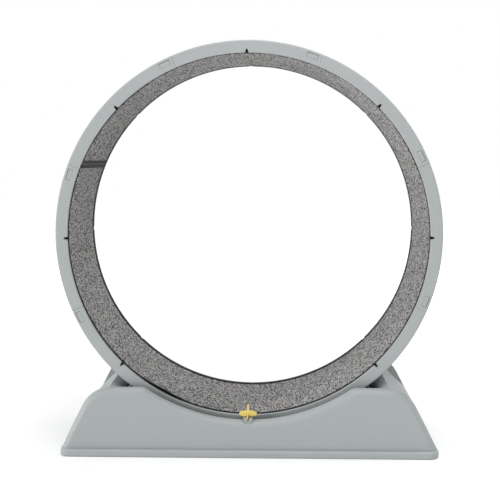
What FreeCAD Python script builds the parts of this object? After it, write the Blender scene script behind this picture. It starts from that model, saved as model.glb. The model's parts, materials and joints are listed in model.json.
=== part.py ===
"""Cat exercise wheel: a ring of eight moulded segments that runs on four rollers in a one-piece base.

Frame: origin on the floor under the middle of the base, +X along the base, +Z up, front at -Y.
The wheel turns about a line along Y at the height axis_height. All sizes are millimetres.
"""
import FreeCAD, Part
import math
import os

import Sketcher
from FreeCAD import Placement, Rotation, Vector

doc = FreeCAD.newDocument("cat_wheel")

# ---------------------------------------------------------------- driving dimensions
DIMENSIONS = {
    # wheel rim
    "wheel_radius": 450,
    "wheel_half_width": 140,
    "floor_clearance": 61,
    "segment_count": 8,
    "segment_gap": 0.5,
    "flange_height": 29,
    "tread_drop": 6,
    "tread_wall": 3,
    "flange_wall": 4,
    "rim_return": 9,
    "rim_wall": 3,
    "rim_rounding": 4,
    "lip_rounding": 1.2,
    "rib_ear_gap": 7,
    "rib_height": 10,
    "rib_wall": 3,
    "cross_ribs": 6,
    "cross_rib_inset": 3,
    # keyhole notch in the middle of each lip
    "notch_width": 5.6,
    "notch_reach": 8.6,
    "notch_depth": 7,
    "notch_mouth": 10,
    "notch_flare": 2.6,
    # snap tongue and its window beside each joint
    "window_length": 26,
    "window_height": 11.2,
    "window_offset": 2.7,
    "window_inset": 8,
    "tongue_wall": 3,
    "tongue_rim": 1.7,
    "tongue_overrun": 6,
    "tongue_root": 12,
    "snap_clearance": 0.7,
    # running mat
    "backing_thickness": 4.8,
    "pile_thickness": 1,
    "pile_front_gap": 15,
    "pile_back_gap": 20,
    "soft_clearance": 0.3,
    "seam_angle": 294,
    "seam_gap": 0.6,
    "seam_tape_width": 8,
    "seam_tape_gap": 3,
    "seam_tape_thickness": 0.6,
    # base shell
    "base_half_length": 443.8,
    "base_height": 161.2,
    "wall_level": 12,
    "side_lean": 76.4,
    "side_radius": 1900,
    "shoulder_radius": 78,
    "base_side_gap": 38,
    "base_draft": 5,
    "arch_gap": 6.4,
    "arch_corner": 22,
    "edge_rounding": 16,
    "shell_wall": 4,
    "well_end_gap": 19,
    "well_side_gap": 16,
    "well_lip_radius": 25,
    "well_lip_run": 25,
    "ridge_flat": 2,
    "ridge_drop": 1,
    "hump_slope": 45,
    "foot_overhang": 1.4,
    "foot_flare": 9,
    "foot_height": 17,
    "foot_corner": 24,
    "foot_rounding": 6,
    "foot_under_rounding": 3,
    "floor_gap": 0.5,
    # bottom cover
    "cover_thickness": 4,
    "cover_level": 3,
    "cover_clearance": 1,
    "post_radius": 7,
    "post_height": 44,
    "post_x_inner": 120,
    "post_end_gap": 113,
    "post_wall_inset": 11,
    "pad_radius": 18,
    "pad_inset": 49,
    # rollers
    "roller_end_gap": 4.7,
    "roller_radius": 28,
    "roller_half_width": 19,
    "roller_inset": 45,
    "roller_crown": 2,
    "tyre_thickness": 5,
    "roller_clearance": 0.3,
    "fit_clearance": 0.05,
    "bearing_radius": 11,
    "bearing_width": 7,
    "bearing_stop": 2,
    "hub_boss": 4,
    "hub_rim": 4,
    "hub_web": 5,
    "axle_radius": 4,
    "axle_end_gap": 8,
    # cradles
    "ear_wall": 4,
    "ear_clearance": 5,
    "ear_head": 8,
    "ear_spread": 44,
    "cradle_floor": 4,
    "cradle_margin": 12,
    "cradle_end": 7,
    "web_wall": 4,
    "web_clearance": 7,
    "clip_thickness": 1.2,
    "clip_radius": 7,
    # screws
    "screw_radius": 1.8,
    "screw_clearance": 0.2,
    "screw_bite": 10,
    "pilot_spare": 2,
    "screw_head_radius": 4,
    "screw_head_height": 2,
    "cradle_screw_inset": 10,
    # lock
    "boss_radius": 10.6,
    "boss_below_lip": 0.5,
    "boss_back_gap": 7,
    "boss_set_back": 6,
    "boss_top_gap": 1.3,
    "boss_face_wall": 3,
    "key_travel": 6.5,
    "key_gap": 3,
    "key_clearance": 0.3,
    "key_blade_width": 4.4,
    "key_rise": 27.5,
    "key_sink": 6,
    "key_stem_width": 3.2,
    "key_stem_play": 2.3,
    "key_foot_width": 8.4,
    "key_foot_height": 2,
    "key_foot_length": 11,
    "key_grip_length": 41,
    "key_grip_height": 13.6,
    "key_grip_end_height": 7,
    "key_grip_flat": 18,
    "key_grip_thickness": 6,
    "key_grip_set_back": 12,
    "key_grip_rise": 8.3,
    "key_rounding": 1.2,
    "key_corner": 2.5,
}


def write_sheet():
    """Put every driving dimension in one spreadsheet, each under its own alias."""
    table = doc.addObject("Spreadsheet::Sheet", "Sizes")
    for row, (alias, value) in enumerate(DIMENSIONS.items(), 1):
        table.set("A%d" % row, alias)
        table.set("B%d" % row, str(value))
        table.setAlias("B%d" % row, alias)
    doc.recompute()
    return table


sheet = write_sheet()


class Size:
    """A length or count as an expression on the sheet, with the value that it has now."""

    def __init__(self, text, value):
        self.text = text
        self.value = float(value)

    def __add__(self, other):
        other = as_size(other)
        return Size("(%s + %s)" % (self.text, other.text), self.value + other.value)

    def __sub__(self, other):
        other = as_size(other)
        return Size("(%s - %s)" % (self.text, other.text), self.value - other.value)

    def __mul__(self, other):
        other = as_size(other)
        return Size("(%s * %s)" % (self.text, other.text), self.value * other.value)

    def __truediv__(self, other):
        other = as_size(other)
        return Size("(%s / %s)" % (self.text, other.text), self.value / other.value)

    def __neg__(self):
        return Size("(-1 * %s)" % self.text, -self.value)

    __radd__ = __add__
    __rmul__ = __mul__

    def __rsub__(self, other):
        return as_size(other) - self

    def __rtruediv__(self, other):
        return as_size(other) / self


def as_size(number):
    """A plain number as a Size."""
    return number if isinstance(number, Size) else Size(repr(number), number)


def cell(alias):
    """The Size held in the sheet under this alias."""
    return Size("Sizes.%s" % alias, sheet.get(alias))


def sine(degrees):
    return Size("sin(%s * 1deg)" % degrees.text, math.sin(math.radians(degrees.value)))


def cosine(degrees):
    return Size("cos(%s * 1deg)" % degrees.text, math.cos(math.radians(degrees.value)))


def root(size):
    return Size("sqrt(%s)" % size.text, math.sqrt(size.value))


def arc_angle(length, radius):
    """The angle in degrees that an arc of this length spans at this radius."""
    return Size("(%s / %s * 180 / pi)" % (length.text, radius.text), math.degrees(length.value / radius.value))


# ---------------------------------------------------------------- building blocks
def bind(feature, **properties):
    """Set each property from a Size or a number, bound to the sheet where it is a Size."""
    for name, size in properties.items():
        if isinstance(size, Size):
            if name != "Occurrences":
                setattr(feature, name, size.value)
            feature.setExpression(name, size.text)
        else:
            setattr(feature, name, size)
    return feature


def set_place(thing, x=0, y=0, z=0, axis=(0, 0, 1), angle=0):
    """Bind a whole placement: a position, then a turn about an axis through it."""
    x, y, z, angle = as_size(x), as_size(y), as_size(z), as_size(angle)
    thing.Placement = Placement(Vector(x.value, y.value, z.value), Rotation(Vector(*axis), angle.value))
    thing.setExpression(
        "Placement",
        "create(<<placement>>; create(<<vector>>; %s; %s; %s); create(<<rotation>>; create(<<vector>>; "
        "%g; %g; %g); %s))" % (x.text, y.text, z.text, axis[0], axis[1], axis[2], angle.text))
    return thing


def origin_feature(body, role):
    return next(item for item in body.Origin.OriginFeatures if item.Role == role)


def new_body(name):
    return doc.addObject("PartDesign::Body", name)


def sketch(body, name, plane, points, arcs=None, domes=None, offset=0, turn_axis=(0, 0, 1), turn=0):
    """A closed outline on one of the body's own planes, fully constrained from the sheet.

    points are pairs of sizes. An edge that is an arc is listed by its number, in arcs with its radius or in
    domes with the height of its centre, and runs counter-clockwise.
    """
    outline = body.newObject("Sketcher::SketchObject", name)
    outline.AttachmentSupport = (origin_feature(body, plane), "")
    outline.MapMode = "FlatFace"
    offset, turn = as_size(offset), as_size(turn)
    outline.AttachmentOffset = Placement(Vector(0, 0, offset.value), Rotation(Vector(*turn_axis), turn.value))
    outline.setExpression(
        "AttachmentOffset",
        "create(<<placement>>; create(<<vector>>; 0; 0; %s); create(<<rotation>>; create(<<vector>>; "
        "%g; %g; %g); %s))" % (offset.text, turn_axis[0], turn_axis[1], turn_axis[2], turn.text))
    points = [(as_size(a), as_size(b)) for a, b in points]
    arcs, domes = arcs or {}, domes or {}
    count = len(points)
    corners = [Vector(a.value, b.value, 0) for a, b in points]
    for number in range(count):
        start, end = corners[number], corners[(number + 1) % count]
        if number in arcs:
            edge = arc_between(start, end, arc_centre(start, end, arcs[number].value))
        elif number in domes:
            edge = arc_between(start, end, Vector((start.x + end.x) / 2, domes[number].value, 0))
        else:
            edge = Part.LineSegment(start, end)
        outline.addGeometry(edge, False)
    for number in range(count):
        outline.addConstraint(Sketcher.Constraint("Coincident", number, 2, (number + 1) % count, 1))
    for number in range(count):
        constrain(outline, points[number][0], "DistanceX", -1, 1, number, 1)
        constrain(outline, points[number][1], "DistanceY", -1, 1, number, 1)
    for number, radius in arcs.items():
        constrain(outline, radius, "Radius", number)
    for number, level in domes.items():
        constrain(outline, level, "DistanceY", -1, 1, number, 3)
    return outline


def constrain(outline, size, *reference):
    """One dimension of a sketch, bound to the sheet."""
    index = outline.addConstraint(Sketcher.Constraint(*reference, size.value))
    outline.setExpression("Constraints[%d]" % index, size.text)


def arc_between(start, end, centre):
    """The arc that runs counter-clockwise from start to end about this centre."""
    circle = Part.Circle(centre, Vector(0, 0, 1), (start - centre).Length)
    low, high = circle.parameter(start), circle.parameter(end)
    return Part.ArcOfCircle(circle, low, high if high > low else high + 2 * math.pi)


def arc_centre(start, end, radius):
    """The centre, to the left of the way from start to end."""
    chord = end - start
    half = chord.Length / 2
    left = Vector(-chord.y, chord.x, 0).normalize()
    return (start + end) * 0.5 + left * math.sqrt(max(0, radius * radius - half * half))


def pad(body, name, outline, length, symmetric=False, reverse=False):
    feature = body.newObject("PartDesign::Pad", name)
    feature.Profile = outline
    feature.Midplane = symmetric
    feature.Reversed = reverse
    return bind(feature, Length=as_size(length))


def pocket(body, name, outline, length, symmetric=False, reverse=False):
    feature = body.newObject("PartDesign::Pocket", name)
    feature.Profile = outline
    feature.Midplane = symmetric
    feature.Reversed = reverse
    return bind(feature, Length=as_size(length))


def mirror(body, name, features, plane):
    feature = body.newObject("PartDesign::Mirrored", name)
    feature.Originals = features
    feature.MirrorPlane = (origin_feature(body, plane), [""])
    body.Tip = feature
    return feature


def revolve(body, name, outline, axis, angle=360):
    feature = body.newObject("PartDesign::Revolution", name)
    feature.Profile = outline
    feature.ReferenceAxis = (origin_feature(body, axis), [""])
    feature.Midplane = True
    return bind(feature, Angle=as_size(angle))


def ring(name, points, axis="Y_Axis", angle=360, arcs=None):
    """A body turned about an axis from an outline in (along the axis, radius)."""
    body = new_body(name)
    if axis == "Z_Axis":
        points = [(radius, along) for along, radius in points]
    revolve(body, name + "_turn", sketch(body, name + "_section", "YZ_Plane", points, arcs), axis, angle)
    return body


def plain_ring(name, low, high, inner, outer, axis="Y_Axis", angle=360):
    """A ring of rectangular section from low to high along its axis."""
    return ring(name, [(low, inner), (high, inner), (high, outer), (low, outer)], axis, angle)


def copy_of(body, name, **place):
    """One more of the same piece, at its own place."""
    link = doc.addObject("App::Link", name)
    link.LinkedObject = body
    return set_place(link, **place)


def group(name, members):
    compound = doc.addObject("Part::Compound", name)
    compound.Links = members
    return compound


def cut(name, base, *tools):
    """The base less each tool in turn."""
    for number, tool in enumerate(tools, 1):
        step = doc.addObject("Part::Cut", "%s_cut_%d" % (name, number))
        step.Base = base
        step.Tool = tool
        base = step
    return base


def fuse(name, members):
    joined = doc.addObject("Part::MultiFuse", name)
    joined.Shapes = members
    joined.Refine = True
    return joined


def box(name, x, y, z):
    """A block from low to high on each axis."""
    block = doc.addObject("Part::Box", name)
    low = [as_size(pair[0]) for pair in (x, y, z)]
    high = [as_size(pair[1]) for pair in (x, y, z)]
    bind(block, Length=high[0] - low[0], Width=high[1] - low[1], Height=high[2] - low[2])
    return set_place(block, low[0], low[1], low[2])


def drum(name, radius, x, z, y):
    """A cylinder along Y, from low to high y."""
    cylinder = doc.addObject("Part::Cylinder", name)
    low, high = as_size(y[0]), as_size(y[1])
    bind(cylinder, Radius=as_size(radius), Height=high - low)
    return set_place(cylinder, x, high, z, axis=(1, 0, 0), angle=90)


def round_edges(name, shape, radius, wanted):
    """Round each edge of the shape that the test picks."""
    doc.recompute()
    feature = doc.addObject("Part::Fillet", name)
    feature.Base = shape
    numbers = [number for number, edge in enumerate(shape.Shape.Edges, 1) if wanted(edge)]
    feature.Edges = [(number, radius.value, radius.value) for number in numbers]
    return feature


nodes = {}


def node(name, thing):
    """Keep a finished piece under the name of its node."""
    thing.Label = name
    nodes[name] = thing
    return thing


# ---------------------------------------------------------------- shared places
half_width = cell("wheel_half_width")
axis_height = cell("wheel_radius") + cell("floor_clearance")
lip_radius = cell("wheel_radius") - cell("flange_height")
tread_inner = lip_radius + cell("tread_drop")
tread_outer = tread_inner + cell("tread_wall")
flange_inner = half_width - cell("flange_wall")
window_radius = lip_radius + cell("flange_height") / 2 + cell("window_offset")
segment_angle = 360 / cell("segment_count")
gap_angle = arc_angle(cell("segment_gap"), cell("wheel_radius"))
arch_radius = lip_radius + cell("arch_gap")
base_half_depth = half_width + cell("base_side_gap")
well_half_width = half_width + cell("well_side_gap")
well_drop = axis_height - cell("base_height")
well_half_length = root(cell("wheel_radius") * cell("wheel_radius") - well_drop * well_drop) + cell("well_end_gap")
foot_half_length = cell("base_half_length") + cell("foot_overhang")
foot_half_depth = base_half_depth + cell("foot_flare")
cover_top = cell("cover_level") + cell("cover_thickness")
post_rows = (cell("post_x_inner"), cell("base_half_length") - cell("post_end_gap"))
roller_y = half_width - cell("roller_inset")
roller_orbit = tread_outer + cell("roller_clearance") + cell("roller_radius")
roller_x = well_half_length - cell("roller_radius") - cell("roller_end_gap")
roller_z = axis_height - root(roller_orbit * roller_orbit - roller_x * roller_x)
ear_inner = roller_y - cell("roller_half_width") - cell("ear_clearance")
ear_outer = roller_y + cell("roller_half_width") + cell("ear_clearance")
rib_y = ear_inner - cell("ear_wall") - cell("rib_ear_gap")
lip_bottom = axis_height - lip_radius
grip_z = lip_bottom + cell("key_grip_rise")
key_foot_z = lip_bottom - cell("key_sink")
key_grip_front = base_half_depth - cell("boss_set_back") - cell("key_grip_set_back")
cradle_top = cover_top + cell("cradle_floor")
cradle_half_length = cell("ear_spread") + cell("cradle_margin")
cradle_half_depth = ear_outer + cell("ear_wall") + cell("cradle_end")
cradle_screw_x = cradle_half_length - cell("cradle_screw_inset")


# ---------------------------------------------------------------- wheel segments
def segment_section(body):
    """The channel: tread, two flanges with a lip inside and a rolled rim outside, and two long ribs."""
    radius, lip, tread = cell("wheel_radius"), lip_radius, tread_inner
    rounding, soft = cell("rim_rounding"), cell("lip_rounding")
    rim_edge = half_width - cell("rim_return")
    rim_inner = radius - cell("rim_wall")
    rib_far = rib_y + cell("rib_wall") / 2
    rib_near = rib_y - cell("rib_wall") / 2
    rib_top = tread_outer + cell("rib_height")
    right = [
        (flange_inner, tread), (flange_inner, lip), (half_width - soft, lip), (half_width, lip + soft),
        (half_width, radius - rounding), (half_width - rounding, radius), (rim_edge, radius),
        (rim_edge, rim_inner), (flange_inner, rim_inner), (flange_inner, tread_outer), (rib_far, tread_outer),
        (rib_far, rib_top), (rib_near, rib_top), (rib_near, tread_outer)]
    left = [(-along, height) for along, height in reversed(right)]
    last = len(right) * 2 - 2
    arcs = {2: soft, 4: rounding, last - 4: rounding, last - 2: soft}
    return sketch(body, "channel_section", "YZ_Plane", right + left, arcs)


def cross_ribs(body):
    """Plates between the long ribs, evenly spaced from one end of the segment to the other."""
    reach = segment_angle / 2 - arc_angle(cell("cross_rib_inset"), tread_outer)
    outline = sketch(
        body, "cross_rib_section", "YZ_Plane",
        [(-rib_y, tread_outer - 1), (rib_y, tread_outer - 1),
         (rib_y, tread_outer + cell("rib_height")), (-rib_y, tread_outer + cell("rib_height"))],
        turn_axis=(1, 0, 0), turn=-reach)
    first = pad(body, "cross_rib", outline, cell("rib_wall"), symmetric=True)
    pattern = body.newObject("PartDesign::PolarPattern", "cross_rib_row")
    pattern.Originals = [first]
    pattern.Axis = (origin_feature(body, "Y_Axis"), [""])
    bind(pattern, Angle=reach * 2, Occurrences=cell("cross_ribs"))
    body.Tip = pattern


def notches(body):
    """A keyhole in the middle of each lip, flared at its mouth, for the lock key."""
    half, mouth = cell("notch_width") / 2, cell("notch_mouth") / 2
    lip = lip_radius
    neck, end = lip + cell("notch_flare"), lip + cell("notch_reach")
    shoulder = end - half
    outline = sketch(
        body, "notch_outline", "XZ_Plane",
        [(-mouth, lip - 1), (mouth, lip - 1), (mouth, lip), (half, neck), (half, shoulder), (-half, shoulder),
         (-half, neck), (-mouth, lip)],
        domes={4: shoulder}, offset=half_width)
    cutter = pocket(body, "notch", outline, cell("notch_depth"))
    mirror(body, "notch_pair", [cutter], "XZ_Plane")


def snap_outline(body, name, centre_angle, length, height, offset, radius):
    half = length / 2
    return sketch(
        body, name, "XZ_Plane",
        [(-half, radius - height / 2), (half, radius - height / 2),
         (half, radius + height / 2), (-half, radius + height / 2)],
        offset=offset, turn_axis=(0, 0, 1), turn=-centre_angle)


def windows(body):
    """A window through each flange at one end of the segment, where the next segment's tongue snaps in."""
    middle = segment_angle / 2 - arc_angle(
        cell("window_inset") + cell("window_length") / 2, window_radius)
    outline = snap_outline(
        body, "window_outline", middle, cell("window_length"), cell("window_height"), half_width,
        window_radius)
    cutter = pocket(body, "window", outline, cell("flange_wall") + 1)
    mirror(body, "window_pair", [cutter], "XZ_Plane")
    return middle


def tongues(body, window_angle):
    """At the other end, a tongue behind each flange of the neighbour, with a pad that fills its window."""
    middle = window_angle - segment_angle
    clearance = cell("snap_clearance")
    tongue_height = cell("window_height") + cell("tongue_rim") * 2
    tongue_face = flange_inner - cell("soft_clearance")
    length = cell("window_inset") + cell("window_length") + cell("tongue_overrun")
    tongue_angle = -segment_angle / 2 - arc_angle(length / 2, window_radius)
    tongue = pad(body, "tongue", snap_outline(
        body, "tongue_outline", tongue_angle, length + 1, tongue_height, tongue_face,
        window_radius), cell("tongue_wall"), reverse=True)
    root_angle = -segment_angle / 2 + gap_angle + arc_angle(cell("tongue_root") / 2, window_radius)
    foot = pad(body, "tongue_root", snap_outline(
        body, "root_outline", root_angle, cell("tongue_root"), tongue_height, flange_inner + 1,
        window_radius), cell("tongue_wall") + cell("soft_clearance") + 1, reverse=True)
    catch = pad(body, "catch", snap_outline(
        body, "catch_outline", middle, cell("window_length") - clearance * 2,
        cell("window_height") - clearance * 2, half_width - cell("soft_clearance"),
        window_radius - clearance / 2), cell("flange_wall") + 1, reverse=True)
    mirror(body, "tongue_pair", [tongue, foot, catch], "XZ_Plane")


def wheel_segments():
    """Eight copies of one moulding round the wheel, with the first one on top."""
    master = new_body("segment_moulding")
    revolve(master, "channel", segment_section(master), "Y_Axis", segment_angle - gap_angle)
    cross_ribs(master)
    notches(master)
    window_angle = windows(master)
    tongues(master, window_angle)
    for number in range(int(cell("segment_count").value)):
        name = "wheel_segment_%d" % (number + 1)
        node(name, copy_of(master, name, z=axis_height, axis=(0, 1, 0), angle=segment_angle * number))
    return master


# ---------------------------------------------------------------- running mat
def running_mat():
    """A black backing as wide as the channel, the woven pile on it, and tapes over the two cut ends."""
    clearance = cell("soft_clearance")
    backing_outer = tread_inner - clearance
    backing_inner = backing_outer - cell("backing_thickness")
    pile_outer = backing_inner - clearance
    pile_inner = pile_outer - cell("pile_thickness")
    front, back = -flange_inner + cell("pile_front_gap"), flange_inner - cell("pile_back_gap")
    sweep = 360 - arc_angle(cell("seam_gap"), pile_inner)
    turn = cell("seam_angle") - 180
    backing = plain_ring(
        "mat_backing_ring", -flange_inner + clearance, flange_inner - clearance, backing_inner, backing_outer,
        angle=sweep)
    pile = plain_ring("mat_pile_ring", front, back, pile_inner, pile_outer, angle=sweep)
    node("mat_backing", copy_of(backing, "mat_backing", z=axis_height, axis=(0, 1, 0), angle=turn))
    node("running_mat", copy_of(pile, "running_mat", z=axis_height, axis=(0, 1, 0), angle=turn))
    tape_inner = pile_inner - clearance - cell("seam_tape_thickness")
    tape = plain_ring(
        "seam_tape_strip", front, back, tape_inner, pile_inner - clearance,
        angle=arc_angle(cell("seam_tape_width"), pile_inner))
    side = arc_angle((cell("seam_tape_gap") + cell("seam_tape_width")) / 2, pile_inner)
    tapes = [
        copy_of(tape, "seam_tape_%d" % number, z=axis_height, axis=(0, 1, 0), angle=cell("seam_angle") + offset)
        for number, offset in enumerate((-side, side), 1)]
    node("mat_seam_tapes", group("mat_seam_tapes", tapes))


# ---------------------------------------------------------------- base shell
def base_form(name, inset):
    """The outside of the base, or the hollow inside it when inset is the wall's thickness."""
    body = new_body(name)
    level = cell("wall_level")
    length, height = cell("base_half_length"), cell("base_height") - inset
    shoulder = length - cell("side_lean")
    lean = cell("side_lean") / (cell("base_height") - level)
    slant = root(lean * lean + 1)
    foot_x, top_x = length - inset * slant, shoulder - inset * (slant - lean)
    outline = sketch(
        body, name + "_front", "XZ_Plane",
        [(-foot_x, level), (foot_x, level), (top_x, height), (-top_x, height)],
        arcs={1: cell("side_radius"), 3: cell("side_radius")})
    pad(body, name + "_length", outline, base_half_depth * 2 + 20, symmetric=True)
    return body


def drafted_block(name, inset):
    """A long block whose front and back lean inwards towards the top."""
    body = new_body(name)
    low_y = base_half_depth - inset
    high_y = low_y - cell("base_draft")
    outline = sketch(
        body, name + "_end", "YZ_Plane",
        [(-low_y, 0), (low_y, 0), (high_y, cell("base_height")), (-high_y, cell("base_height"))])
    pad(body, name + "_run", outline, cell("base_half_length") * 2 + 40, symmetric=True)
    return body


def walls(name, inset):
    """Front outline and drafted walls in one solid, with the arch cut and every upper edge rounded."""
    common = doc.addObject("Part::Common", name + "_common")
    common.Base = base_form(name + "_form", inset)
    common.Tool = drafted_block(name + "_draft", inset)
    depth = base_half_depth + 30
    arch = drum(name + "_arch", arch_radius + inset, 0, axis_height, (-depth, depth))
    block = cut(name + "_arched", common, arch)
    height = (cell("base_height") - inset).value
    shoulder_x = cell("base_half_length").value - cell("side_lean").value - cell("shoulder_radius").value
    wide = base_half_depth.value

    def shoulder_edge(edge):
        ends = [vertex.Point for vertex in edge.Vertexes]
        return all(abs(p.z - height) < 0.5 and abs(p.x) > shoulder_x for p in ends) and edge.Length > wide

    shoulders = round_edges(
        name + "_shoulders", block, cell("shoulder_radius") - inset, shoulder_edge)

    def arch_edge(edge):
        ends = [vertex.Point for vertex in edge.Vertexes]
        return all(abs(p.z - height) < 0.5 and abs(p.x) < shoulder_x for p in ends) and edge.Length > wide \
            and abs(ends[0].x - ends[1].x) < 0.5

    corners = round_edges(name + "_corners", shoulders, cell("arch_corner") - inset, arch_edge)

    def outer_edge(edge):
        middle = edge.valueAt((edge.FirstParameter + edge.LastParameter) / 2)
        ends = [vertex.Point for vertex in edge.Vertexes]
        side_y = min(abs(p.y) for p in ends + [middle])
        level = max(p.z for p in ends + [middle])
        return side_y > wide - 30 and level > cell("wall_level").value + 1 and all(p.y * middle.y > 0 for p in ends)

    return round_edges(name + "_edges", corners, cell("edge_rounding") - inset, outer_edge)


def foot_form(name, inset):
    """The rounded foot round the bottom, or the hollow inside it."""
    x, y = foot_half_length - inset, foot_half_depth - inset
    level = cell("floor_gap") if inset.value == 0 else as_size(0)
    top = cell("floor_gap") + cell("foot_height") - inset
    block = box(name + "_block", (-x, x), (-y, y), (level, top))

    def upright(edge):
        return abs(edge.BoundBox.ZLength - (top - level).value) < 0.1

    rounded = round_edges(name + "_corners", block, cell("foot_corner") - inset, upright)
    if inset.value:
        return rounded

    def top_edge(edge):
        return edge.BoundBox.ZLength < 0.1 and abs(edge.BoundBox.ZMax - top.value) < 0.1

    beaded = round_edges(name + "_bead", rounded, cell("foot_rounding"), top_edge)

    def under_edge(edge):
        return edge.BoundBox.ZLength < 0.1 and abs(edge.BoundBox.ZMax - level.value) < 0.1

    return round_edges(name + "_under", beaded, cell("foot_under_rounding"), under_edge)


def hump_side(name, side, inset):
    """What is taken off outside the ridge, so that the hump slopes down to the base's end."""
    slope, width = cell("hump_slope"), well_half_width + inset
    crest = well_half_length + cell("well_lip_run")
    rise = sine(slope) / cosine(slope)
    level = cell("base_height") - cell("ridge_drop") - inset
    ridge = crest + cell("ridge_flat") - inset * (1 / cosine(slope) - 1) / rise
    reach = foot_half_length - ridge + 20
    above = cell("base_height") + 40
    points = [(crest, level), (ridge, level), (ridge + reach, level - reach * rise), (ridge + reach, above),
              (crest, above)]
    if side < 0:
        points = [(-along, height) for along, height in reversed(points)]
    body = new_body(name)
    pad(body, name + "_run", sketch(body, name + "_outline", "XZ_Plane", points), width * 2, symmetric=True)
    return body


def well_dip(name, inset):
    """What is taken off between the front and back rims, so that the skin runs down from a ridge on each side.

    Inwards it curls into the well, and outwards it slopes to the base's end.
    """
    crest = well_half_length + cell("well_lip_run")
    width = well_half_width + inset
    radius = cell("well_lip_radius") - inset
    centre_z = cell("base_height") - cell("ridge_drop") - cell("well_lip_radius")
    block = box(name + "_block", (-crest, crest), (-width, width), (centre_z - inset, cell("base_height") + 40))
    curls = [drum("%s_curl_%d" % (name, side), radius, crest * side, centre_z, (-width - 5, width + 5))
             for side in (-1, 1)]
    slopes = [hump_side("%s_slope_%d" % (name, side + 1), side, inset) for side in (-1, 1)]
    return [cut(name + "_curled", block, *curls)] + slopes


def posts(name, radius, low, high):
    """Screw posts along the inside of the front and back walls."""
    wall_y = base_half_depth - cell("post_wall_inset")
    made = []
    for x in post_rows:
        for side_x in (-1, 1):
            for side_y in (-1, 1):
                peg = doc.addObject("Part::Cylinder", "%s_%d" % (name, len(made) + 1))
                bind(peg, Radius=radius, Height=high - low)
                made.append(set_place(peg, x * side_x, wall_y * side_y, low))
    return made


def base_shell():
    """One hollow moulding: walls, humps and foot, open above for the wheel and below for the cover."""
    none, wall = as_size(0), cell("shell_wall")
    outside = cut("outside", walls("outer", none), *well_dip("outer_dip", none))
    inside = cut("inside", walls("inner", wall), *well_dip("inner_dip", wall))
    outer = fuse("outer_form", [outside, foot_form("outer_foot", none)])
    inner = fuse("inner_form", [inside, foot_form("inner_foot", wall)])
    well = box("well", (-well_half_length, well_half_length),
               (-well_half_width, well_half_width), (cover_top, axis_height))
    hollow = cut("hollow", outer, inner, well)
    peg_top = cover_top + cell("post_height")
    pegs = posts("post", cell("post_radius"), cover_top, peg_top)
    boss = lock_boss()
    joined = fuse("shell_with_posts", [hollow, boss] + pegs)
    pilot = cell("screw_radius") + cell("screw_clearance")
    holes = posts("pilot", pilot, cover_top - 1, cover_top + cell("screw_bite") + cell("pilot_spare"))
    node("base_shell", cut("base_shell", joined, *(key_slots() + holes)))


def lock_boss():
    """The round boss on the front wall, flat on top just under the key's grip."""
    front, back = boss_ends()
    boss = drum("boss_round", cell("boss_radius"), 0, lip_bottom - cell("boss_below_lip"), (-front, -back))
    reach = cell("boss_radius") + 5
    top = grip_z - cell("key_grip_height") / 2 - cell("boss_top_gap")
    above = box("boss_above", (-reach, reach), (-front - 5, -back + 5), (top, top + reach * 2))
    return cut("lock_boss", boss, above)


def boss_ends():
    """How far in front of the axis plane the boss starts and ends."""
    return base_half_depth - cell("boss_set_back"), half_width + cell("boss_back_gap")


def key_slots():
    """The upright slot that the key's stem slides in, and the wider one below that holds its foot down."""
    front, back = boss_ends()
    play = cell("key_clearance")
    stem_low, stem_high = stem_sides()
    floor = key_foot_z - play
    foot_top = key_foot_z + cell("key_foot_height") + play
    half_foot = cell("key_foot_width") / 2 + play
    upright = box("key_slot", (stem_low - play, stem_high + cell("key_stem_play")), (-front - 5, -back + 5),
                  (floor, axis_height))
    wide = box("key_foot_slot", (-half_foot, half_foot), (-front + cell("boss_face_wall"), -back + 5),
               (floor, foot_top))
    return [upright, wide]


def stem_sides():
    """The stem stands to the left of the middle, with its play on the right."""
    middle = (cell("key_clearance") - cell("key_stem_play")) / 2
    half = cell("key_stem_width") / 2
    return middle - half, middle + half


# ---------------------------------------------------------------- bottom cover
def bottom_cover():
    """The plate that closes the base from below and carries the cradles."""
    margin = cell("shell_wall") + cell("cover_clearance")
    x, y = foot_half_length - margin, foot_half_depth - margin
    plate = box("cover_block", (-x, x), (-y, y), (cell("cover_level"), cover_top))

    def upright(edge):
        return abs(edge.BoundBox.ZLength - cell("cover_thickness").value) < 0.1

    rounded = round_edges("cover_corners", plate, cell("foot_corner") - margin, upright)
    clear = cell("screw_radius") + cell("screw_clearance")
    holes = posts("cover_hole", clear, cell("cover_level") - 1, cover_top + 1)
    holes += cradle_holes("cover_pilot", clear, cell("cover_level") - 1, cover_top + 1)
    node("bottom_cover", cut("bottom_cover", rounded, *holes))


def cradle_holes(name, radius, low, high):
    """Upright cylinders at the eight cradle screws."""
    made = []
    for side in (-1, 1):
        for side_x in (-1, 1):
            for side_y in (-1, 1):
                peg = doc.addObject("Part::Cylinder", "%s_%d" % (name, len(made) + 1))
                bind(peg, Radius=radius, Height=high - low)
                made.append(set_place(
                    peg, (roller_x + cradle_screw_x * side_x) * side, roller_y * side_y,
                    low))
    return made


def screw(name, length):
    """A pan-head screw standing on its tip, head up, with its shoulder at height zero."""
    radius, head, height = cell("screw_radius"), cell("screw_head_radius"), cell("screw_head_height")
    return ring(name, [
        (-length, 0), (-length, radius), (0, radius), (0, head), (height / 2, head), (height, radius * 1.5),
        (height, 0)], axis="Z_Axis")


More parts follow.
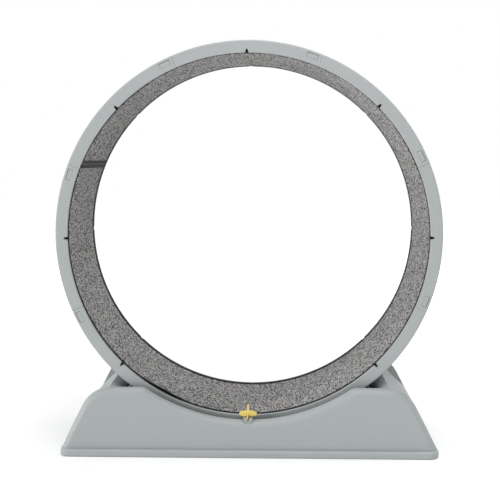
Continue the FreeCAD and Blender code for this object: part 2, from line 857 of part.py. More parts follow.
def screws():
    """The cover's screws go up into the posts, the cradles' screws down into the cover."""
    long_screw = screw("cover_screw", cell("cover_thickness") + cell("screw_bite"))
    wall_y = base_half_depth - cell("post_wall_inset")
    cover = [
        copy_of(long_screw, "cover_screw_%d%d%d" % (far, side_x + 1, side_y + 1),
                x=x * side_x, y=wall_y * side_y, z=cell("cover_level"), axis=(1, 0, 0), angle=180)
        for far, x in enumerate(post_rows)
        for side_x in (-1, 1) for side_y in (-1, 1)]
    node("cover_screws", group("cover_screws", cover))
    short_screw = screw("cradle_screw", cell("cradle_floor") + cell("cover_thickness"))
    cradle = [
        copy_of(short_screw, "cradle_screw_%d%d%d" % (side + 1, side_x + 1, side_y + 1),
                x=(roller_x + cradle_screw_x * side_x) * side, y=roller_y * side_y,
                z=cradle_top)
        for side in (-1, 1) for side_x in (-1, 1) for side_y in (-1, 1)]
    node("cradle_screws", group("cradle_screws", cradle))


def floor_pads():
    """Six soft pads under the cover."""
    pad_body = plain_ring("floor_pad", 0, cell("cover_level"), 0, cell("pad_radius"), axis="Z_Axis")
    pads = [
        copy_of(pad_body, "floor_pad_%d%d" % (column + 2, side_y + 1),
                x=(foot_half_length - cell("pad_inset")) * column, y=(foot_half_depth - cell("pad_inset")) * side_y)
        for column in (-1, 0, 1) for side_y in (-1, 1)]
    node("floor_pads", group("floor_pads", pads))


# ---------------------------------------------------------------- cradles and rollers
def cradle(name, side):
    """A moulded cradle: a foot plate, four ears for the axle and a web between them."""
    spread, reach = cell("ear_spread"), cradle_half_depth
    flange = box(name + "_flange", (roller_x * side - cradle_half_length, roller_x * side + cradle_half_length),
                 (-reach, reach), (cover_top, cradle_top))
    web_half = cell("web_wall") / 2
    web_top = roller_z - cell("roller_radius") - cell("web_clearance")
    web = box(name + "_web", (roller_x * side - web_half, roller_x * side + web_half), (-ear_outer, ear_outer),
              (cover_top, web_top))
    ears = []
    for number, low in enumerate((-ear_outer - cell("ear_wall"), -ear_inner, ear_inner - cell("ear_wall"), ear_outer)):
        ears.append(ear("%s_ear_%d" % (name, number + 1), low, spread, side))
    joined = fuse(name + "_joined", [flange, web] + ears)
    bore = drum(name + "_bore", cell("axle_radius") + cell("fit_clearance"), roller_x * side, roller_z,
                (-reach - 5, reach + 5))
    holes = cradle_holes(name + "_hole", cell("screw_radius") + cell("screw_clearance"), cover_top - 1, cradle_top + 1)
    node(name, cut(name, joined, bore, *(holes[4:] if side > 0 else holes[:4])))


def ear(name, low, spread, side):
    """One ear: wide at its foot, narrowing to a round head about the axle."""
    body = new_body(name)
    head = cell("axle_radius") + cell("ear_head")
    low = as_size(low)
    outline = sketch(
        body, name + "_outline", "XZ_Plane",
        [(roller_x * side - spread, cover_top), (roller_x * side + spread, cover_top),
         (roller_x * side + head, roller_z), (roller_x * side - head, roller_z)],
        domes={2: roller_z}, offset=-low)
    pad(body, name + "_plate", outline, cell("ear_wall"), reverse=True)
    return body


def axle_parts():
    """An axle through each cradle, with spacers beside the rollers and a clip at each end."""
    axle_end = half_width - cell("axle_end_gap")
    axle = plain_ring("axle", -axle_end, axle_end, 0, cell("axle_radius"))
    bore = cell("axle_radius") + cell("fit_clearance")
    clearance = cell("soft_clearance")
    clip = plain_ring("axle_clip", 0, cell("clip_thickness"), bore, cell("clip_radius"))
    spacer_length = cell("ear_clearance") - clearance * 2
    spacer = plain_ring("axle_spacer", 0, spacer_length, bore, cell("clip_radius"))
    clips, spacers = [], []
    for side, name in ((-1, "left"), (1, "right")):
        node("axle_" + name, copy_of(axle, "axle_" + name, x=roller_x * side, z=roller_z))
        for end in (-1, 1):
            start = ear_outer + cell("ear_wall") + clearance
            low = start if end > 0 else -start - cell("clip_thickness")
            clips.append(copy_of(clip, "clip_%s_%d" % (name, end + 1), x=roller_x * side, y=low, z=roller_z))
            for start in (ear_inner + clearance, ear_outer - clearance - spacer_length):
                low = start if end > 0 else -start - spacer_length
                spacers.append(copy_of(spacer, "spacer_%s_%d" % (name, len(spacers)), x=roller_x * side, y=low,
                                       z=roller_z))
    node("axle_clips", group("axle_clips", clips))
    node("axle_spacers", group("axle_spacers", spacers))


def roller_parts():
    """Four rollers: a spoked-look hub turned as one, a crowned tyre and two bearings in each."""
    half, radius = cell("roller_half_width"), cell("roller_radius")
    clearance = cell("fit_clearance")
    hub_outer = radius - cell("tyre_thickness")
    seat = cell("bearing_radius") + clearance
    boss = seat + cell("hub_boss")
    rim = hub_outer - cell("hub_rim")
    web = cell("hub_web") / 2
    shoulder = half - cell("bearing_width")
    stop = cell("bearing_radius") - cell("bearing_stop")
    hub = ring("roller_hub", [
        (-half, seat), (-shoulder, seat), (-shoulder, stop), (shoulder, stop), (shoulder, seat), (half, seat),
        (half, boss), (web, boss), (web, rim), (half, rim), (half, hub_outer), (-half, hub_outer), (-half, rim),
        (-web, rim), (-web, boss), (-half, boss)])
    tyre_bore = hub_outer + clearance
    crown = radius - cell("roller_crown")
    tyre = ring("roller_tyre", [
        (-half, tyre_bore), (half, tyre_bore), (half, crown), (half - cell("roller_crown"), radius),
        (-half + cell("roller_crown"), radius), (-half, crown)])
    bore = cell("axle_radius") + clearance
    bearing = plain_ring("roller_bearing", 0, cell("bearing_width"), bore, cell("bearing_radius"))
    for side, side_name in ((-1, "left"), (1, "right")):
        for end, end_name in ((-1, "front"), (1, "back")):
            name = "%s_%s" % (end_name, side_name)
            place = {"x": roller_x * side, "z": roller_z}
            middle = roller_y * end
            node("roller_hub_" + name, copy_of(hub, "roller_hub_" + name, y=middle, **place))
            node("roller_tyre_" + name, copy_of(tyre, "roller_tyre_" + name, y=middle, **place))
            pair = [copy_of(bearing, "bearing_%s_%d" % (name, number), y=middle + start, **place)
                    for number, start in enumerate((-half, shoulder))]
            node("roller_bearings_" + name, group("roller_bearings_" + name, pair))


# ---------------------------------------------------------------- lock key
def key_grip():
    """The grip: a plate across the blade, deep in the middle and slimmer at its ends."""
    front, height = key_grip_front, grip_z
    end_x, flat_x = cell("key_grip_length") / 2, cell("key_grip_flat") / 2
    end_z, flat_z = cell("key_grip_end_height") / 2, cell("key_grip_height") / 2
    lower = [(-end_x, height - end_z), (-flat_x, height - flat_z), (flat_x, height - flat_z), (end_x, height - end_z)]
    upper = [(end_x, height + end_z), (flat_x, height + flat_z), (-flat_x, height + flat_z), (-end_x, height + end_z)]
    body = new_body("key_grip_plate")
    pad(body, "key_grip_pad", sketch(body, "key_grip_outline", "XZ_Plane", lower + upper, offset=front),
        cell("key_grip_thickness"), reverse=True)

    def corner(edge):
        return abs(edge.BoundBox.YLength - cell("key_grip_thickness").value) < 0.01

    def rim(edge):
        return edge.BoundBox.YLength < 0.01

    rounded = round_edges("key_grip_corners", body, cell("key_corner"), corner)
    return round_edges("key_grip_rim", rounded, cell("key_rounding"), rim)


def lock_key():
    """The key: an upright blade that enters a notch, a grip across it, and a stem with a foot in the boss."""
    back = -half_width - cell("key_gap")
    grip_front = -key_grip_front
    half_blade = cell("key_blade_width") / 2
    tip, foot = lip_bottom + cell("key_rise"), key_foot_z
    grip_low = grip_z - cell("key_grip_height") / 2
    blade = box("key_blade", (-half_blade, half_blade), (grip_front + cell("key_rounding"), back), (grip_low, tip))
    boss_front, boss_back = boss_ends()
    stem_front = -boss_front + cell("boss_face_wall") + cell("key_clearance")
    stem_low, stem_high = stem_sides()
    stem = box("key_stem", (stem_low, stem_high), (stem_front, stem_front + cell("key_foot_length")), (foot, grip_z))
    half_foot = cell("key_foot_width") / 2
    plate = box("key_foot_plate", (-half_foot, half_foot), (stem_front, stem_front + cell("key_foot_length")),
                (foot, foot + cell("key_foot_height")))

    def tip_edge(edge):
        return edge.BoundBox.ZMin > tip.value - 0.1 and edge.BoundBox.YLength < 0.01

    rounded_blade = round_edges("key_blade_edges", blade, cell("key_rounding"), tip_edge)
    node("lock_key", fuse("lock_key", [rounded_blade, stem, plate, key_grip()]))


# ---------------------------------------------------------------- build, test and write
wheel_segments()
running_mat()
base_shell()
bottom_cover()
screws()
floor_pads()
cradle("cradle_left", -1)
cradle("cradle_right", 1)
axle_parts()
roller_parts()
lock_key()
doc.recompute()

faults = ["%s: %s" % (item.Name, item.State) for item in doc.Objects
          if {"Invalid", "Error"} & set(item.State)]
shapes = {name: Part.getShape(thing) for name, thing in nodes.items()}
for name, shape in shapes.items():
    if shape.isNull() or not shape.isValid():
        faults.append("%s: shape is null or not valid" % name)
if faults:
    raise RuntimeError("; ".join(faults))

os.makedirs("parts", exist_ok=True)
for name, shape in shapes.items():
    shape.exportStep("parts/%s.step" % name)
    bounds = shape.BoundBox
    print("%-28s %d solids, %10.0f mm3, z %.1f to %.1f" % (
        name, len(shape.Solids), shape.Volume, bounds.ZMin, bounds.ZMax))
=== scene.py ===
"""Looks of the cat exercise wheel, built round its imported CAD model. Lengths are metres."""

import json
import math

import bmesh
import bpy
import numpy as np
from mathutils import Matrix, Vector

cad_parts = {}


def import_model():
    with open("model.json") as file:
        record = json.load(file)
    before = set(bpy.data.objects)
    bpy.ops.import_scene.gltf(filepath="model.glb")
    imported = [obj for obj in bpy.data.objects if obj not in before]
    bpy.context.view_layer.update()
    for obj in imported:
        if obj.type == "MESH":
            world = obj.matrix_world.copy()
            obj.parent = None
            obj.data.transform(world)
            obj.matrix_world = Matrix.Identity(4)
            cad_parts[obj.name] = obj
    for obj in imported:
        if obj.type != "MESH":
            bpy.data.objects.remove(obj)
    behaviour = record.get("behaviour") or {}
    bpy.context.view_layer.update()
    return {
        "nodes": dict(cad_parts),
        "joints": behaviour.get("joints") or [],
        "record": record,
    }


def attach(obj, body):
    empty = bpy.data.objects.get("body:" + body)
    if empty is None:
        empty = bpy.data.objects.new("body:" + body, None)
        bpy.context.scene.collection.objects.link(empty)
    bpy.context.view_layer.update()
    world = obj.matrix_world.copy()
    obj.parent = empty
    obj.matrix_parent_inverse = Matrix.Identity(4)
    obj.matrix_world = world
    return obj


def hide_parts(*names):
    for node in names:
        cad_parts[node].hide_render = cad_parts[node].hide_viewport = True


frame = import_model()
nodes = frame["nodes"]

# ---------------------------------------------------------------- sizes read from the frame
AXIS_Z = next(joint["pos_m"][2] for joint in frame["joints"] if joint["name"] == "wheel_spin")


def read_points(mesh):
    """A mesh's vertices as rows of x, y and z."""
    flat = np.empty(len(mesh.vertices) * 3)
    mesh.vertices.foreach_get("co", flat)
    return flat.reshape(-1, 3)


def polar(points):
    """Angle clockwise from the top, as seen from the front, and distance from the wheel's axis."""
    sideways, up = points[:, 0], points[:, 2] - AXIS_Z
    return np.arctan2(sideways, up), np.hypot(sideways, up)


def ring_size(node):
    """Inner and outer radius, and front and back, of a node that lies round the wheel's axis."""
    points = read_points(nodes[node].data)
    reach = polar(points)[1]
    return reach.min(), reach.max(), points[:, 1].min(), points[:, 1].max()


PILE_TOP, PILE_BACK, PILE_FRONT, PILE_REAR = ring_size("running_mat")
FELT_TOP, FELT_BACK, FELT_FRONT, FELT_REAR = ring_size("mat_backing")
TAPE_TOP, TAPE_BACK, TAPE_FRONT, TAPE_REAR = ring_size("mat_seam_tapes")
tape_angles = np.sort(polar(read_points(nodes["mat_seam_tapes"].data))[0])
tape_split = int(np.argmax(np.diff(tape_angles)))
TAPE_SPANS = ((tape_angles[0], tape_angles[tape_split]), (tape_angles[tape_split + 1], tape_angles[-1]))
SEAM_ANGLE = (tape_angles[0] + tape_angles[-1]) / 2

# the woven mat: the gap at its cut, as an angle, and how many loops it has round the wheel and across
MAT_GAP = 0.0006 / PILE_TOP
MAT_START = SEAM_ANGLE + MAT_GAP / 2
MAT_SWEEP = 2 * math.pi - MAT_GAP
MAT_RIM = 0.0008
SECTORS = 32
PILE_LOOPS = 512
PILE_ROWS = 44
LOOP_PITCH = MAT_SWEEP * PILE_TOP / PILE_LOOPS
ROW_PITCH = (PILE_REAR - PILE_FRONT - 2 * MAT_RIM) / PILE_ROWS


# ---------------------------------------------------------------- shader helpers
class Shader:
    """A material or a node group, with short calls that add a node and wire its inputs."""

    def __init__(self, tree):
        self.tree = tree

    def add(self, kind, settings=None, **inputs):
        made = self.tree.nodes.new(kind)
        for name, value in (settings or {}).items():
            setattr(made, name, value)
        for name, value in inputs.items():
            socket = made.inputs[int(name[2:])] if name.startswith("in") else made.inputs[name.replace("_", " ")]
            if isinstance(value, bpy.types.NodeSocket):
                self.tree.links.new(value, socket)
            else:
                socket.default_value = value
        return made

    def maths(self, operation, *values):
        inputs = {"in%d" % place: value for place, value in enumerate(values)}
        return self.add("ShaderNodeMath", {"operation": operation}, **inputs).outputs[0]

    def mix(self, factor, first, second):
        made = self.add("ShaderNodeMix", {"data_type": "RGBA"})
        for index, value in ((0, factor), (6, first), (7, second)):
            if isinstance(value, bpy.types.NodeSocket):
                self.tree.links.new(value, made.inputs[index])
            else:
                made.inputs[index].default_value = value
        return made.outputs[2]

    def ramp(self, value, low, high):
        """The value mapped so that low becomes 0 and high becomes 1, held between them."""
        made = self.add("ShaderNodeMapRange", {"clamp": True}, Value=value)
        made.inputs["From Min"].default_value = low
        made.inputs["From Max"].default_value = high
        return made.outputs[0]


def shader_group(name, inputs, outputs):
    """An empty node group with its sockets, as (group, shader, input node, output node)."""
    group = bpy.data.node_groups.new(name, "ShaderNodeTree")
    for socket_name, kind, value in inputs:
        socket = group.interface.new_socket(name=socket_name, in_out="INPUT", socket_type=kind)
        socket.default_value = value
    for socket_name, kind in outputs:
        group.interface.new_socket(name=socket_name, in_out="OUTPUT", socket_type=kind)
    shader = Shader(group)
    return group, shader, shader.add("NodeGroupInput"), shader.add("NodeGroupOutput")


# moulding grain and clouding, in cycles to a metre, and the shade of narrow gaps
GRAIN_SCALE = 900.0
GRAIN_DEPTH = 0.00002
CLOUD_SCALE = 7.0
PAINTED_SHADE_REACH = 0.01
PAINTED_SHADE_OPEN = 0.6
PAINTED_SHADE_SAMPLES = 8


def moulded_group():
    """Fine moulding grain, faint clouding and painted shade in crevices, from an ambient occlusion node: a
    brightness, a roughness and a height.
    """
    group, shader, given, out = shader_group(
        "moulded_grain",
        [("Roughness", "NodeSocketFloat", 0.45), ("Clouding", "NodeSocketFloat", 0.04)],
        [("Shade", "NodeSocketFloat"), ("Roughness", "NodeSocketFloat"), ("Height", "NodeSocketFloat")])
    place = shader.add("ShaderNodeTexCoord").outputs["Object"]
    grain = shader.add("ShaderNodeTexNoise", Vector=place, Scale=GRAIN_SCALE, Detail=2.0)
    cloud = shader.add("ShaderNodeTexNoise", Vector=place, Scale=CLOUD_SCALE, Detail=3.0)
    drift = shader.maths("MULTIPLY", shader.maths("SUBTRACT", cloud.outputs[0], 0.5), given.outputs["Clouding"])
    # painted shade: an ambient occlusion node darkens the colour in narrow gaps, notches and joints, where shade
    # falls
    gaps = shader.add("ShaderNodeAmbientOcclusion", {"samples": PAINTED_SHADE_SAMPLES}, Distance=PAINTED_SHADE_REACH)
    painted_crevice_shade = shader.ramp(gaps.outputs["AO"], 0.0, PAINTED_SHADE_OPEN)
    shade = shader.maths("MULTIPLY", shader.maths("ADD", 1.0, drift), painted_crevice_shade)
    shader.tree.links.new(shade, out.inputs["Shade"])
    rough = shader.maths("MULTIPLY_ADD", cloud.outputs[0], 0.1, given.outputs["Roughness"])
    shader.tree.links.new(rough, out.inputs["Roughness"])
    shader.tree.links.new(grain.outputs[0], out.inputs["Height"])
    return group


def new_material(name):
    material = bpy.data.materials.new(name)
    material.use_nodes = True
    tree = material.node_tree
    tree.nodes.clear()
    shader = Shader(tree)
    surface = shader.add("ShaderNodeBsdfPrincipled")
    output = shader.add("ShaderNodeOutputMaterial")
    tree.links.new(surface.outputs[0], output.inputs[0])
    return material, shader, surface


def moulded(name, colour, roughness, clouding=0.04, specular=0.5):
    """Moulded plastic or rubber in one colour."""
    material, shader, surface = new_material(name)
    grain = shader.add("ShaderNodeGroup", {"node_tree": MOULDED_GRAIN_AND_SHADE})
    grain.inputs["Roughness"].default_value = roughness
    grain.inputs["Clouding"].default_value = clouding
    # the group's Shade output holds the random clouding and the painted shade of crevices, and scales the base
    # colour
    tint = shader.add("ShaderNodeVectorMath", {"operation": "SCALE"}, in0=colour)
    shader.tree.links.new(grain.outputs["Shade"], tint.inputs["Scale"])
    bump = shader.add("ShaderNodeBump", Height=grain.outputs["Height"], Distance=GRAIN_DEPTH)
    shader.tree.links.new(tint.outputs[0], surface.inputs["Base Color"])
    shader.tree.links.new(grain.outputs["Roughness"], surface.inputs["Roughness"])
    shader.tree.links.new(bump.outputs[0], surface.inputs["Normal"])
    surface.inputs["Specular IOR Level"].default_value = specular
    return material


def brushed_steel(name, colour):
    """Plated steel with fine marks."""
    material, shader, surface = new_material(name)
    place = shader.add("ShaderNodeTexCoord").outputs["Object"]
    marks = shader.add("ShaderNodeTexNoise", Vector=place, Scale=600.0, Detail=4.0)
    rough = shader.maths("MULTIPLY_ADD", marks.outputs[0], 0.2, 0.25)
    surface.inputs["Base Color"].default_value = colour
    surface.inputs["Metallic"].default_value = 1.0
    shader.tree.links.new(rough, surface.inputs["Roughness"])
    return material


# the carpet's yarn: its greys, and how many flecks each loop has along and across
PILE_LIGHT = (0.56, 0.549, 0.541, 1.0)
PILE_DARK = (0.055, 0.054, 0.053, 1.0)
PILE_FLECK = (0.04, 0.039, 0.038, 1.0)
FLECKS_ALONG = 2.2
FLECKS_ACROSS = 1.3


def loop_pile(name):
    """Heathered loop carpet: each fleck of its yarn has its own grey."""
    material, shader, surface = new_material(name)
    flat = shader.add("ShaderNodeUVMap", {"uv_map": "strip"}).outputs[0]
    loops = shader.add("ShaderNodeVectorMath", {"operation": "MULTIPLY"}, in0=flat,
                       in1=(FLECKS_ALONG / LOOP_PITCH, FLECKS_ACROSS / ROW_PITCH, 0)).outputs[0]
    cell = shader.add("ShaderNodeVectorMath", {"operation": "FLOOR"}, in0=loops).outputs[0]
    yarn = shader.add("ShaderNodeTexWhiteNoise", {"noise_dimensions": "2D"}, Vector=cell).outputs["Value"]
    drift = shader.add("ShaderNodeTexNoise", Vector=flat, Scale=90.0, Detail=3.0, Roughness=0.7).outputs[0]
    blend = shader.maths("ADD", shader.maths("MULTIPLY", yarn, 0.75), shader.maths("MULTIPLY", drift, 0.5))
    dark = shader.ramp(blend, 0.3, 0.42)
    base = shader.mix(shader.ramp(blend, 0.37, 0.88), PILE_DARK, PILE_LIGHT)
    flecked = shader.mix(dark, PILE_FLECK, base)
    fibres = shader.add("ShaderNodeTexNoise", Vector=flat, Scale=1400.0, Detail=2.0).outputs[0]
    shader.tree.links.new(flecked, surface.inputs["Base Color"])
    bump = shader.add("ShaderNodeBump", Height=fibres, Distance=0.0004)
    shader.tree.links.new(bump.outputs[0], surface.inputs["Normal"])
    surface.inputs["Roughness"].default_value = 0.95
    surface.inputs["Specular IOR Level"].default_value = 0.15
    surface.inputs["Sheen Weight"].default_value = 0.15
    return material


def felt(name, colour, grain=500.0):
    """Needled felt: matt, with short tangled fibres."""
    material, shader, surface = new_material(name)
    place = shader.add("ShaderNodeTexCoord").outputs["Object"]
    fibres = shader.add("ShaderNodeTexNoise", Vector=place, Scale=grain, Detail=5.0, Roughness=0.7).outputs[0]
    tint = shader.mix(shader.ramp(fibres, 0.3, 0.7), [c * 0.6 for c in colour[:3]] + [1.0], colour)
    bump = shader.add("ShaderNodeBump", Height=fibres, Distance=0.0006)
    shader.tree.links.new(tint, surface.inputs["Base Color"])
    shader.tree.links.new(bump.outputs[0], surface.inputs["Normal"])
    surface.inputs["Roughness"].default_value = 0.95
    surface.inputs["Specular IOR Level"].default_value = 0.1
    surface.inputs["Sheen Weight"].default_value = 0.1
    return material


# ---------------------------------------------------------------- finishes
MOULDED_GRAIN_AND_SHADE = moulded_group()

FINISHES = {
    "wheel_plastic": moulded("wheel_plastic", (0.418, 0.441, 0.444), 0.42),
    "base_plastic": moulded("base_plastic", (0.406, 0.432, 0.436), 0.42),
    "cover_plastic": moulded("cover_plastic", (0.12, 0.125, 0.13), 0.5),
    "cradle_plastic": moulded("cradle_plastic", (0.15, 0.155, 0.16), 0.5),
    "hub_plastic": moulded("hub_plastic", (0.55, 0.55, 0.55), 0.5),
    "tyre_rubber": moulded("tyre_rubber", (0.03, 0.03, 0.03), 0.7, clouding=0.2, specular=0.3),
    "pad_rubber": moulded("pad_rubber", (0.03, 0.03, 0.03), 0.8, clouding=0.2, specular=0.3),
    "key_plastic": moulded("key_plastic", (0.86, 0.66, 0.17), 0.3, clouding=0.08),
    "steel": brushed_steel("steel", (0.6, 0.6, 0.61, 1.0)),
    "mat_pile": loop_pile("mat_pile"),
    "mat_backing": felt("mat_backing", (0.010, 0.010, 0.011, 1.0)),
    "seam_tape": felt("seam_tape", (0.045, 0.044, 0.047, 1.0), grain=900.0),
}
SLOT_OF = {part["node"]: part["material_slot"] for part in frame["record"]["subparts"]}
for node_name, node_object in nodes.items():
    node_object.data.materials.clear()
    node_object.data.materials.append(FINISHES[SLOT_OF[node_name]])


# ---------------------------------------------------------------- running mat
NUB_HEIGHT = 0.0006
FELT_STEPS_ACROSS = 36
FELT_STEPS_ALONG = 24
TAPE_STEPS_ACROSS = 40
TAPE_STEPS_ALONG = 8
# places where the mat's front edge stands off the tread: angle, half width in degrees, height
EDGE_LIFTS = ((209, 13, 0.0072), (62, 14, 0.0012), (150, 14, 0.0009), (318, 16, 0.0008))
EDGE_LIFT_DEPTH = 0.05
EDGE_LIFT_CURVE = 1.6
WELD_REACH = 0.00002


def edge_lift(angle, y):
    """How far the mat's front edge stands off the tread."""
    lift = np.zeros_like(angle)
    depth = np.clip(1 - (y - FELT_FRONT) / EDGE_LIFT_DEPTH, 0, 1) ** EDGE_LIFT_CURVE
    for centre, half_width, height in EDGE_LIFTS:
        away = (np.degrees(angle) - centre + 180) % 360 - 180
        share = np.clip(np.abs(away) / half_width, 0, 1)
        lift += height * (0.5 + 0.5 * np.cos(np.pi * share)) * depth
    return lift


def loop_nubs(angle, y):
    """How far the pile's surface lies below the tops of its loops, which stand in a staggered grid."""
    along = (angle - MAT_START) * PILE_LOOPS / MAT_SWEEP
    sideways = (y - PILE_FRONT - MAT_RIM) / ROW_PITCH
    return NUB_HEIGHT * (0.5 - 0.5 * np.cos(2 * math.pi * along) * np.cos(2 * math.pi * sideways))


def swept_strip(name, section, start, sweep, sectors, steps, finish):
    """A closed outline in (y, radius) swept round the wheel's axis from one angle on, in equal sectors."""
    part = bmesh.new()
    corners = [part.verts.new((0, y, AXIS_Z + radius)) for y, radius in section]
    for first, second in zip(corners, corners[1:] + corners[:1]):
        part.edges.new((first, second))
    centre = (0, 0, AXIS_Z)
    bmesh.ops.rotate(part, verts=part.verts, cent=centre, matrix=Matrix.Rotation(start, 3, "Y"))
    bmesh.ops.spin(part, geom=part.verts[:] + part.edges[:], cent=centre, axis=(0, 1, 0), angle=sweep / sectors,
                   steps=steps)
    data = bpy.data.meshes.new(name)
    part.to_mesh(data)
    part.free()
    to_axis = Matrix.Translation(centre)
    turn = to_axis @ Matrix.Rotation(sweep / sectors, 4, "Y") @ to_axis.inverted()
    mesh = bmesh.new()
    for _ in range(sectors):
        mesh.from_mesh(data)
        data.transform(turn)
    bmesh.ops.remove_doubles(mesh, verts=mesh.verts, dist=WELD_REACH)
    ends = [edge for edge in mesh.edges if edge.is_boundary]
    bmesh.ops.holes_fill(mesh, edges=ends, sides=len(section))
    bmesh.ops.recalc_face_normals(mesh, faces=mesh.faces)
    mesh.to_mesh(data)
    mesh.free()
    data.materials.append(finish)
    piece = bpy.data.objects.new(name, data)
    bpy.context.scene.collection.objects.link(piece)
    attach(piece, "wheel")
    return piece


def add_strip_uv(piece, start):
    """A flat map of the strip in metres: length along it and place across it."""
    points = read_points(piece.data)
    turned = (polar(points)[0] - start + MAT_GAP / 2) % (2 * math.pi) - MAT_GAP / 2
    corner = np.empty(len(piece.data.loops), dtype=np.int32)
    piece.data.loops.foreach_get("vertex_index", corner)
    flat = np.column_stack((turned * PILE_TOP, points[:, 1]))[corner]
    piece.data.uv_layers.new(name="strip").data.foreach_set("uv", flat.ravel())


def press(piece, inward):
    """Move each vertex towards the wheel's axis by inward(angle, y, radius)."""
    points = read_points(piece.data)
    angle, radius = polar(points)
    share = 1 - inward(angle, points[:, 1], radius) / radius
    points[:, 0] *= share
    points[:, 2] = AXIS_Z + (points[:, 2] - AXIS_Z) * share
    piece.data.vertices.foreach_set("co", points.ravel())
    piece.data.update()


def across(first, last, count):
    """Places from first to last, in so many equal steps."""
    return [first + (last - first) * step / count for step in range(count + 1)]


def running_mat():
    """The woven pile, its felt backing and the two tapes over the cut ends."""
    rim, middle = MAT_RIM, (PILE_TOP + PILE_BACK) / 2
    section = [(y, PILE_TOP) for y in across(PILE_FRONT + rim, PILE_REAR - rim, PILE_ROWS * 2)]
    section += [(PILE_REAR, middle), (PILE_REAR, PILE_BACK), (PILE_FRONT, PILE_BACK), (PILE_FRONT, middle)]
    pile = swept_strip("mat_pile", section, MAT_START, MAT_SWEEP, SECTORS, 2 * PILE_LOOPS // SECTORS,
                       FINISHES["mat_pile"])
    add_strip_uv(pile, MAT_START)
    press(pile, lambda angle, y, radius: edge_lift(angle, y) - (radius < middle) * loop_nubs(angle, y))
    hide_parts("running_mat")

    section = [(y, FELT_TOP) for y in across(FELT_FRONT + rim, FELT_REAR - rim, FELT_STEPS_ACROSS)]
    section += [(FELT_REAR, FELT_TOP + rim)]
    section += [(y, FELT_BACK) for y in across(FELT_REAR, FELT_FRONT, FELT_STEPS_ACROSS)]
    section += [(FELT_FRONT, FELT_TOP + rim)]
    backing = swept_strip("mat_felt", section, MAT_START, MAT_SWEEP, SECTORS, FELT_STEPS_ALONG,
                          FINISHES["mat_backing"])
    press(backing, lambda angle, y, radius: edge_lift(angle, y))
    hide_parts("mat_backing")

    for number, (low, high) in enumerate(TAPE_SPANS, 1):
        section = [(y, TAPE_TOP) for y in across(TAPE_FRONT, TAPE_REAR, TAPE_STEPS_ACROSS)]
        section += [(TAPE_REAR, TAPE_BACK), (TAPE_FRONT, TAPE_BACK)]
        tape = swept_strip("seam_tape_%d" % number, section, low, high - low, 1, TAPE_STEPS_ALONG,
                           FINISHES["seam_tape"])
        if number == 1:
            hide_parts("mat_seam_tapes")


running_mat()


# ---------------------------------------------------------------- floor, lights and camera
CAMERA_PLACE = Vector((0.0721, -1.9819, 0.6932))
CAMERA_YAW = math.radians(-2.071)
CAMERA_PITCH = math.radians(-6.49)
CAMERA_ROLL = math.radians(-0.247)
FOCAL_PIXELS = 800
IMAGE_PIXELS = 500
SENSOR = 0.036

# the floor near the object shines less of its own than far off, so that the object's shadow stays on it
FLOOR_REACH = 12
FLOOR_COLOUR = (0.8, 0.8, 0.8, 1)
FLOOR_BOUNCE = 0.30
FLOOR_NEAR = 0.36
FLOOR_FADE = (0.7, 2.5)
FLOOR_GLOW = (0.9, 0.9, 0.9, 1)
FILL_STRENGTH = 0.2

# name, place, target, width and height, watts
LAMPS = (
    ("key_light", (0.6, -1.6, 2.4), (0.1, 0, 0.6), (2.2, 1.4), 27),
    ("side_light", (-6, -2.5, 1.2), (0, 0, 0.5), (2, 2), 171),
    ("top_light", (0.3, 0.4, 4.2), (0, 0, 0.4), (3, 3), 116),
)


def camera():
    """The camera that the photo was taken from."""
    forward = Vector((math.sin(CAMERA_YAW) * math.cos(CAMERA_PITCH), math.cos(CAMERA_YAW) * math.cos(CAMERA_PITCH),
                      math.sin(CAMERA_PITCH)))
    right = Vector((math.cos(CAMERA_YAW), -math.sin(CAMERA_YAW), 0))
    up = right.cross(forward)
    rolled_right = right * math.cos(CAMERA_ROLL) + up * math.sin(CAMERA_ROLL)
    rolled_up = up * math.cos(CAMERA_ROLL) - right * math.sin(CAMERA_ROLL)
    turn = Matrix((rolled_right, rolled_up, -forward)).transposed()
    data = bpy.data.cameras.new("camera")
    data.sensor_width = SENSOR * 1000
    data.lens = SENSOR * 1000 * FOCAL_PIXELS / IMAGE_PIXELS
    placed = bpy.data.objects.new("camera", data)
    placed.matrix_world = Matrix.Translation(CAMERA_PLACE) @ turn.to_4x4()
    bpy.context.scene.collection.objects.link(placed)
    bpy.context.scene.camera = placed


def area_light(name, place, target, size, power):
    """A rectangular lamp that faces its target."""
    data = bpy.data.lights.new(name, "AREA")
    data.shape = "RECTANGLE"
    data.size, data.size_y = size
    data.energy = power
    lamp = bpy.data.objects.new(name, data)
    lamp.location = place
    lamp.rotation_euler = (Vector(target) - Vector(place)).to_track_quat("-Z", "Y").to_euler()
    bpy.context.scene.collection.objects.link(lamp)


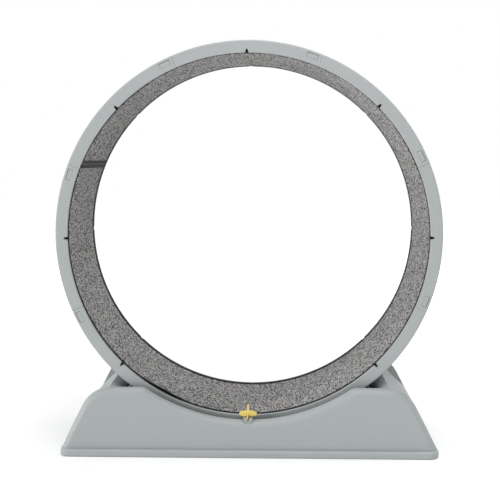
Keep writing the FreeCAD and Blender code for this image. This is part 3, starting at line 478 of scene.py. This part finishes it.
def backdrop_strength(shader, lighting, shown=1.0):
    """One strength for what is seen straight, mirrored or through glass, and another for the rays that light."""
    path = shader.add("ShaderNodeLightPath").outputs
    mirrored = shader.maths("MAXIMUM", path["Is Glossy Ray"], path["Is Transmission Ray"])
    seen = shader.maths("MAXIMUM", path["Is Camera Ray"], mirrored)
    return shader.maths("ADD", shader.maths("MULTIPLY", seen, shader.maths("SUBTRACT", shown, lighting)), lighting)


def floor():
    """A pale floor that the camera sees as white, with the object's soft shadow left on it."""
    mesh = bmesh.new()
    bmesh.ops.create_grid(mesh, x_segments=1, y_segments=1, size=FLOOR_REACH)
    data = bpy.data.meshes.new("floor")
    mesh.to_mesh(data)
    mesh.free()
    piece = bpy.data.objects.new("floor", data)
    bpy.context.scene.collection.objects.link(piece)
    material, shader, surface = new_material("floor")
    surface.inputs["Base Color"].default_value = FLOOR_COLOUR
    surface.inputs["Roughness"].default_value = 0.9
    surface.inputs["Specular IOR Level"].default_value = 0.0
    place = shader.add("ShaderNodeTexCoord").outputs["Object"]
    away = shader.add("ShaderNodeVectorMath", {"operation": "LENGTH"}, in0=place).outputs["Value"]
    share = shader.ramp(away, *FLOOR_FADE)
    shown = shader.maths("ADD", shader.maths("MULTIPLY", share, 1 - FLOOR_NEAR), FLOOR_NEAR)
    shader.tree.links.new(backdrop_strength(shader, FLOOR_BOUNCE, shown), surface.inputs["Emission Strength"])
    surface.inputs["Emission Color"].default_value = FLOOR_GLOW
    data.materials.append(material)


def world():
    """Soft light from all round, seen as white."""
    sky = bpy.data.worlds.new("studio")
    bpy.context.scene.world = sky
    sky.use_nodes = True
    sky.node_tree.nodes.clear()
    shader = Shader(sky.node_tree)
    back = shader.add("ShaderNodeBackground", Strength=backdrop_strength(shader, FILL_STRENGTH))
    output = shader.add("ShaderNodeOutputWorld")
    sky.node_tree.links.new(back.outputs[0], output.inputs[0])
    back.inputs["Color"].default_value = (1, 1, 1, 1)


floor()
world()
for lamp in LAMPS:
    area_light(*lamp)
camera()
bpy.context.scene.view_settings.view_transform = "Standard"
